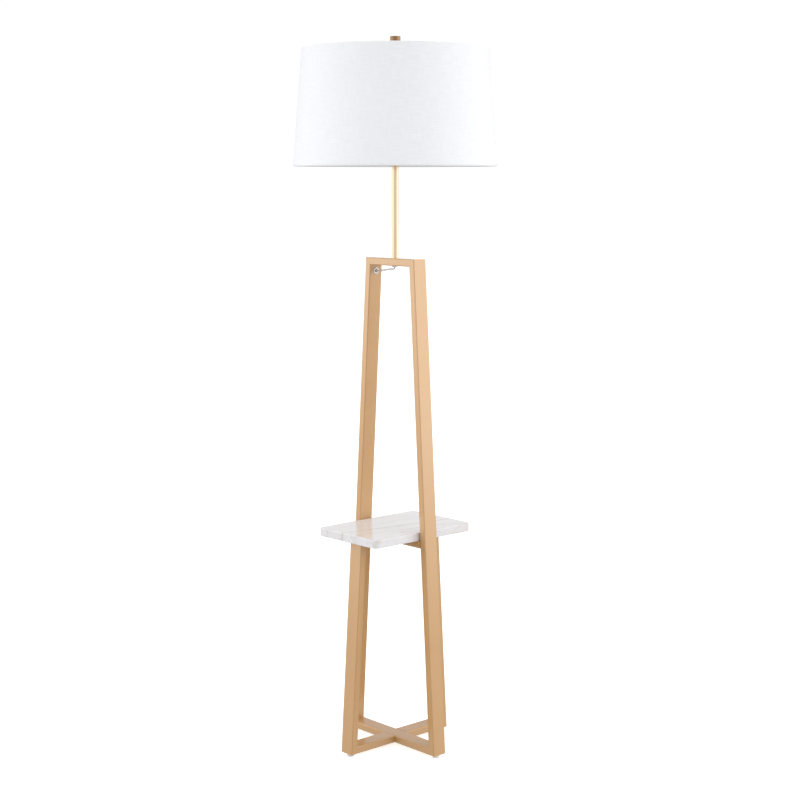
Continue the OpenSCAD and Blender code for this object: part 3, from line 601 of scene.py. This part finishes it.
def studio_floor():
    floor_mesh = bpy.data.meshes.new("floor")
    corners = ((-1, -1), (1, -1), (1, 1), (-1, 1))
    floor_mesh.from_pydata(
        [(x * FLOOR_REACH, y * FLOOR_REACH, 0) for x, y in corners], [], [(0, 1, 2, 3)]
    )
    finish = Finish("studio_floor", roughness=0.9, emission_color=(1, 1, 1, 1),
                    emission_strength=FLOOR_GLOW)
    finish.set(base_color=finish.mix(finish.noise(0.5, 2), srgb(246, 246, 246),
                                     srgb(250, 250, 250)))
    floor_mesh.materials.append(finish.material)
    floor = bpy.data.objects.new("floor", floor_mesh)
    bpy.context.scene.collection.objects.link(floor)
    floor.visible_diffuse = False     # the photograph's floor throws no light on the lamp
    floor.visible_glossy = False


def softboxes():
    away, height = SOFTBOX_AT
    for turn, power in SOFTBOXES:
        towards = math.atan2(EYE[1], EYE[0]) + math.radians(turn)
        light = bpy.data.lights.new("softbox", "AREA")
        light.shape = "SQUARE"
        light.size = SOFTBOX_SIZE
        light.energy = power
        box = bpy.data.objects.new("softbox", light)
        box.location = (away * math.cos(towards), away * math.sin(towards), height)
        aim = Vector((0, 0, height)) - box.location
        box.rotation_euler = aim.to_track_quat("-Z", "Y").to_euler()
        box.visible_glossy = False
        bpy.context.scene.collection.objects.link(box)


def white_room():
    world = bpy.data.worlds.new("white_room")
    world.use_nodes = True
    tree = world.node_tree
    around = tree.nodes.new("ShaderNodeTexCoord").outputs["Generated"]

    def light_along(direction, stops):
        """The room's light by the cosine of the angle to a direction."""
        cosine = tree.nodes.new("ShaderNodeVectorMath")
        cosine.operation = "DOT_PRODUCT"
        cosine.inputs[1].default_value = direction
        tree.links.new(around, cosine.inputs[0])
        share = tree.nodes.new("ShaderNodeMapRange")
        share.inputs["From Min"].default_value = -1
        tree.links.new(cosine.outputs["Value"], share.inputs["Value"])
        ramp = tree.nodes.new("ShaderNodeValToRGB")
        ramp.color_ramp.interpolation = "EASE"
        for _ in stops[2:]:
            ramp.color_ramp.elements.new(0.5)
        for stop, (at, light) in zip(ramp.color_ramp.elements, stops):
            stop.position = (at + 1) / 2
            stop.color = (light, light, light, 1)
        tree.links.new(share.outputs["Result"], ramp.inputs["Fac"])
        return ramp.outputs["Color"]

    def both(a, b):
        product = tree.nodes.new("ShaderNodeVectorMath")
        product.operation = "MULTIPLY"
        tree.links.new(a, product.inputs[0])
        tree.links.new(b, product.inputs[1])
        return product.outputs["Vector"]

    heading = math.radians(HEADING)
    ahead = (-math.sin(heading), math.cos(heading), 0)
    right = (math.cos(heading), math.sin(heading), 0)
    level = both(light_along(ahead, ROOM_AHEAD), light_along(right, ROOM_RIGHT))
    background = tree.nodes["Background"]
    tree.links.new(both(level, light_along((0, 0, 1), ROOM_UPWARD)), background.inputs["Color"])
    background.inputs["Strength"].default_value = ROOM_LIGHT
    bpy.context.scene.world = world
    bpy.context.scene.view_settings.view_transform = "Standard"


photo_camera()
MATERIALS = {slot: make() for slot, make in FINISHES.items()}
cords(MATERIALS)
dress_nodes(MATERIALS)
shade_cover(MATERIALS)
studio_floor()
softboxes()
white_room()
